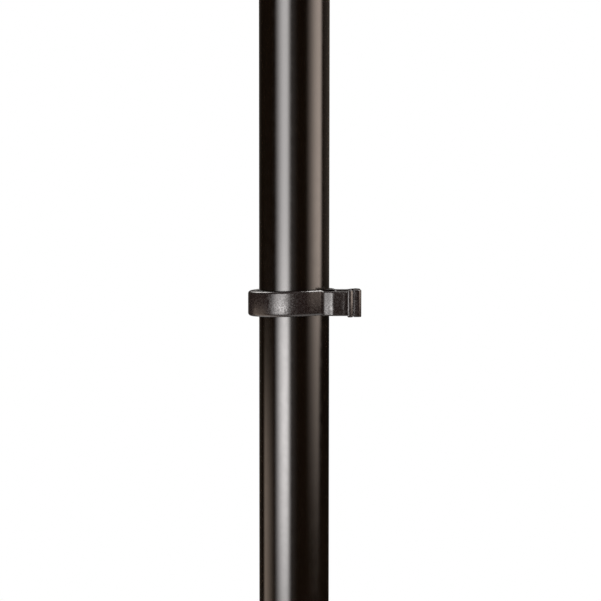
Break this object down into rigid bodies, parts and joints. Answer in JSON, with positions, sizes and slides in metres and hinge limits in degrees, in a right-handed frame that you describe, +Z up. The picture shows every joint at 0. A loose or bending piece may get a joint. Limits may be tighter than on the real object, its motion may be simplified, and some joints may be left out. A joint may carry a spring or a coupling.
{
  "type": "music stand",
  "caption": "Floor-standing music stand: folding tripod base, sliding column, tilting slotted desk with shelf, and a push-on cable clip.",
  "frame": {"origin": "on the floor below the column's axis", "axes": "+Z is up along the column; the player stands at -Y and +X is to the player's right as they face the desk"},
  "size_m": [0.5904, 0.5135, 1.1989],
  "materials": {
    "column_paint": "gloss",
    "desk_paint": "satin",
    "cast_black": "satin",
    "mast_paint": "gloss",
    "zinc": "satin",
    "rivet_steel": "satin",
    "brass_insert": "satin",
    "collar_plastic": "matt",
    "knob_plastic": "matt",
    "bush_plastic": "matt",
    "clip_plastic": "fine grain",
    "rubber_trim": "matt",
    "foot_rubber": "matt"
  },
  "bodies": {
    "base": {"base_hub": "cast_black", "hub_bolt": "zinc", "hub_washer": "zinc", "hub_grub_screw": "zinc", "column_insert": "zinc", "leg_pins": "zinc", "column_tube": "column_paint", "height_collar": "collar_plastic", "mast_bush": "bush_plastic", "brake_pad": "bush_plastic"},
    "clamp_screw": {"height_screw": "zinc", "height_knob": "knob_plastic"},
    "slider": {"mast_guide": "bush_plastic"},
    "mast": {"mast_tube": "mast_paint", "head_socket": "cast_black", "head_pin": "zinc"},
    "desk": {"desk_plate": "desk_paint", "desk_shelf": "desk_paint", "shelf_trim": "rubber_trim", "shelf_rivets": "rivet_steel", "desk_stiffener": "desk_paint", "stiffener_rivets": "rivet_steel", "tilt_bracket": "desk_paint", "bracket_screws": "zinc", "bracket_nuts": "zinc", "tilt_bolt": "zinc", "friction_washers": "bush_plastic", "tilt_washer": "zinc"},
    "tilt_grip": {"tilt_knob": "knob_plastic", "tilt_knob_insert": "brass_insert"},
    "clip": {"cable_clip": "clip_plastic"},
    "clip_arm": {"cable_clip_arm": "clip_plastic"},
    "leg_1": {"leg_1_hinge_end": "cast_black", "leg_1_tube": "column_paint", "leg_1_rivet": "rivet_steel", "leg_1_foot": "foot_rubber"},
    "leg_2": {"leg_2_hinge_end": "cast_black", "leg_2_tube": "column_paint", "leg_2_rivet": "rivet_steel", "leg_2_foot": "foot_rubber"},
    "leg_3": {"leg_3_hinge_end": "cast_black", "leg_3_tube": "column_paint", "leg_3_rivet": "rivet_steel", "leg_3_foot": "foot_rubber"}
  },
  "joints": [
    {"name": "leg_1_fold", "type": "hinge", "parent": "base", "child": "leg_1", "pos_m": [0, 0.034, 0.062], "axis": [-1, 0, 0], "range_deg": [0, 80]},
    {"name": "leg_2_fold", "type": "hinge", "parent": "base", "child": "leg_2", "pos_m": [-0.02944, -0.017, 0.062], "axis": [0.5, -0.866, 0], "range_deg": [0, 80]},
    {"name": "leg_3_fold", "type": "hinge", "parent": "base", "child": "leg_3", "pos_m": [0.02944, -0.017, 0.062], "axis": [0.5, 0.866, 0], "range_deg": [0, 80]},
    {"name": "height_slide", "type": "slide", "parent": "base", "child": "slider", "axis": [0, 0, 1], "range_m": [-0.155, 0.25]},
    {"name": "mast_turn", "type": "hinge", "parent": "slider", "child": "mast", "pos_m": [0, 0, 0.35], "axis": [0, 0, 1], "continuous": true},
    {"name": "desk_tilt", "type": "hinge", "parent": "mast", "child": "desk", "pos_m": [0, 0, 1.008], "axis": [1, 0, 0], "range_deg": [-70, 15]},
    {"name": "tilt_knob_turn", "type": "hinge", "parent": "desk", "child": "tilt_grip", "pos_m": [0.02, 0, 1.008], "axis": [1, 0, 0], "range_deg": [0, 360]},
    {"name": "height_knob_turn", "type": "hinge", "parent": "base", "child": "clamp_screw", "pos_m": [0.04, 0, 0.668], "axis": [1, 0, 0], "range_deg": [0, 360]},
    {"name": "clip_slide", "type": "slide", "parent": "base", "child": "clip", "axis": [0, 0, 1], "range_m": [-0.36, 0.14]},
    {"name": "clip_open", "type": "hinge", "parent": "clip", "child": "clip_arm", "pos_m": [-0.01974, 0, 0.46958], "axis": [-0.0366, 0, 0.9993], "range_deg": [-18, 0], "stiffness_Nm_per_rad": 0.6}
  ]
}
